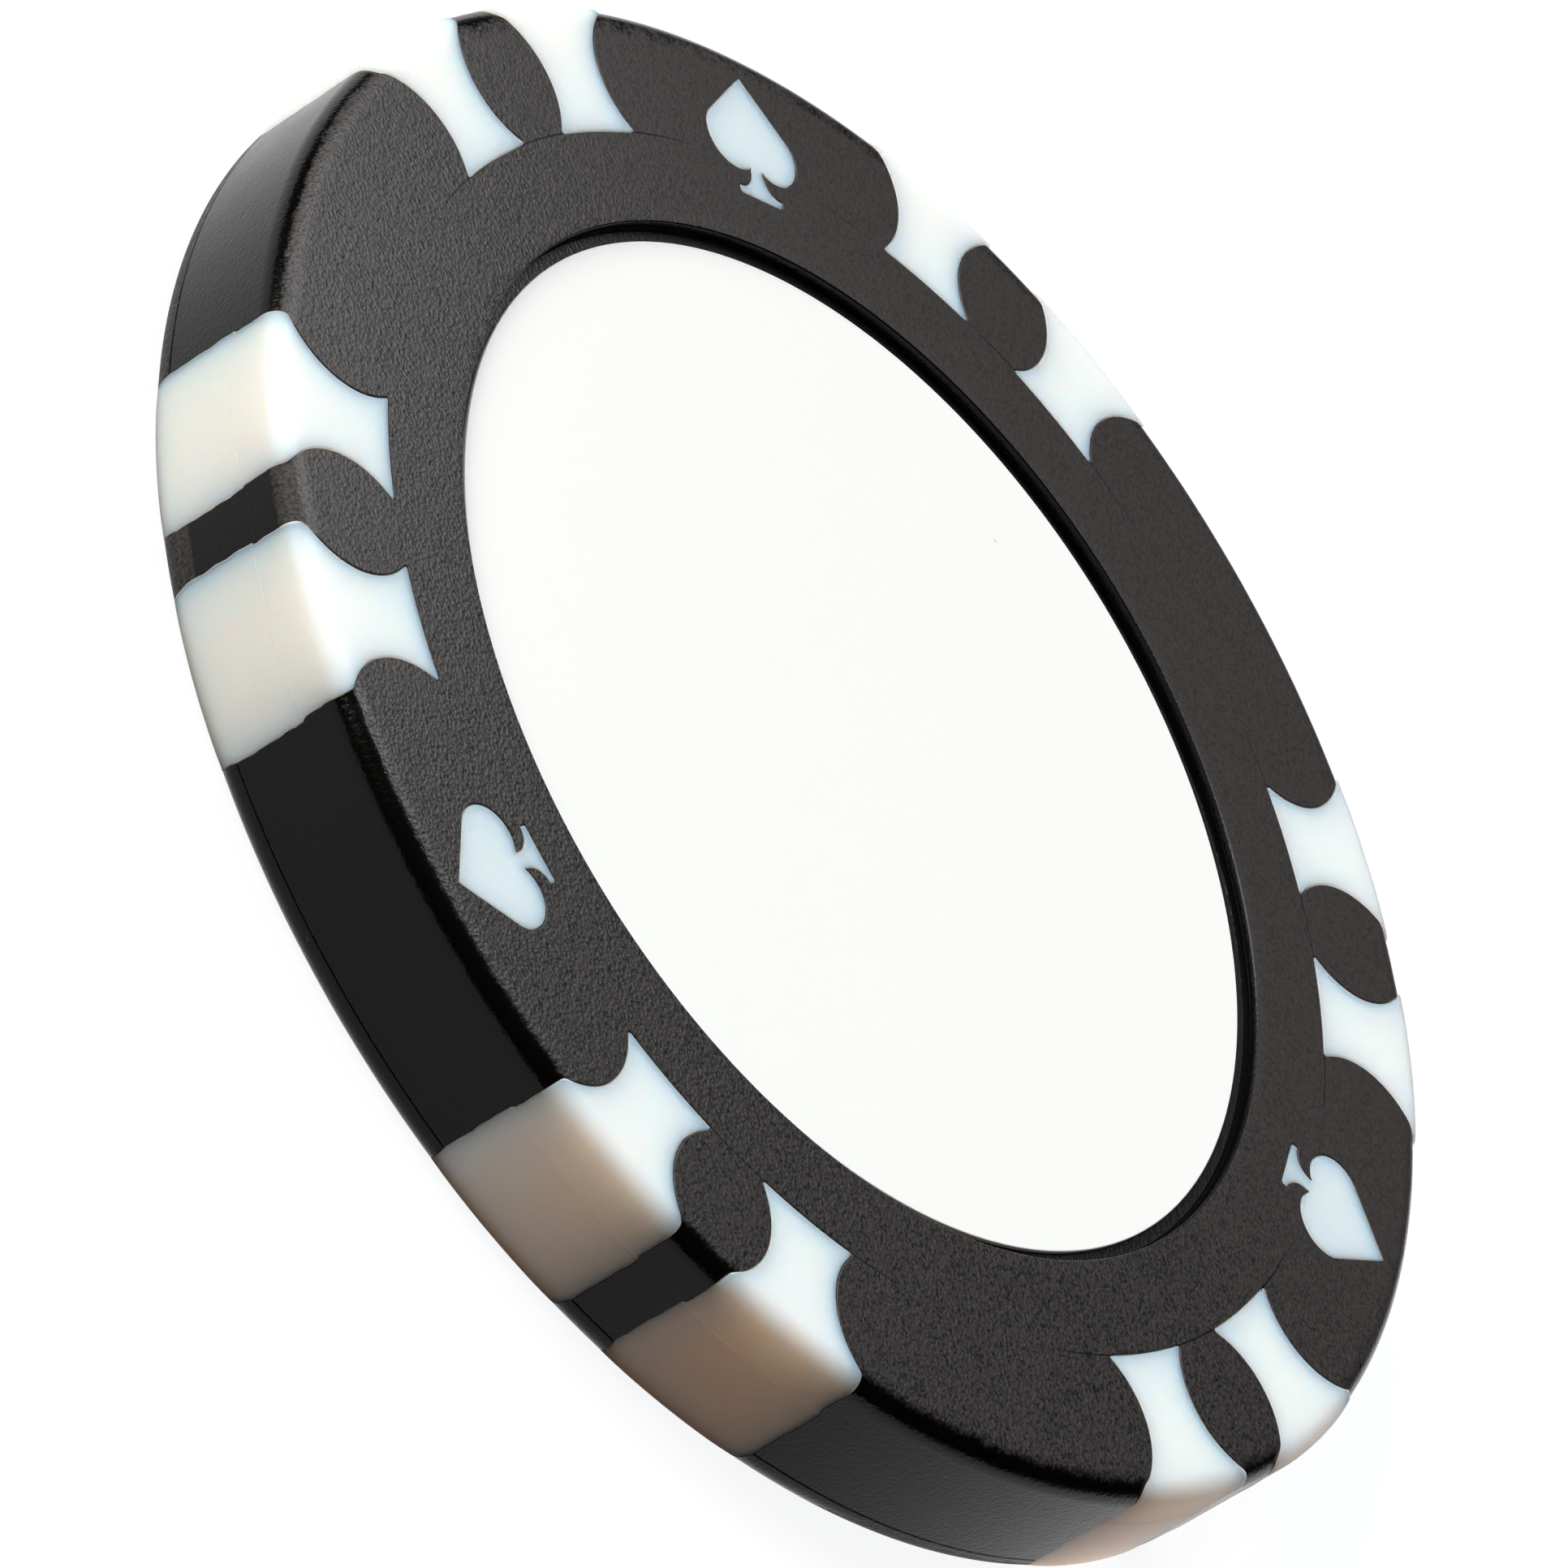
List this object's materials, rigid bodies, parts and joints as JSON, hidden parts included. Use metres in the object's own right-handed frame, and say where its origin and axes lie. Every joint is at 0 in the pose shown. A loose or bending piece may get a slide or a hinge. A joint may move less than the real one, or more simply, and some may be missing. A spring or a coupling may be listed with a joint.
{
  "type": "poker chip ball marker",
  "caption": "Round two-colour plastic poker chip with a steel weight, inlaid edge spots and card pips, and a recessed blank label on each face, used as a golf ball marker.",
  "frame": {"origin": "middle of the back face, on the plane that the chip lies on", "axes": "+Z is the chip's axis, from the back face to the front face; +X runs through the middle of a pair of edge spots; +Y follows by the right-hand rule"},
  "size_m": [0.04, 0.04, 0.0044],
  "materials": {
    "black_plastic": "fine spark-eroded grain on the two faces, gloss on the rim",
    "white_plastic": "smooth, slightly translucent white",
    "steel": "plain blanked steel, hidden",
    "label": "blank white label film"
  },
  "bodies": {
    "root": {"chip_body": "black_plastic", "weight_slug": "steel", "edge_spot_01": "white_plastic", "edge_spot_02": "white_plastic", "edge_spot_03": "white_plastic", "edge_spot_04": "white_plastic", "edge_spot_05": "white_plastic", "edge_spot_06": "white_plastic", "edge_spot_07": "white_plastic", "edge_spot_08": "white_plastic", "edge_spot_09": "white_plastic", "edge_spot_10": "white_plastic", "edge_spot_11": "white_plastic", "edge_spot_12": "white_plastic", "front_mark_1": "white_plastic", "front_mark_2": "white_plastic", "front_mark_3": "white_plastic", "back_mark_1": "white_plastic", "back_mark_2": "white_plastic", "back_mark_3": "white_plastic", "front_label": "label", "back_label": "label"}
  },
  "joints": []
}
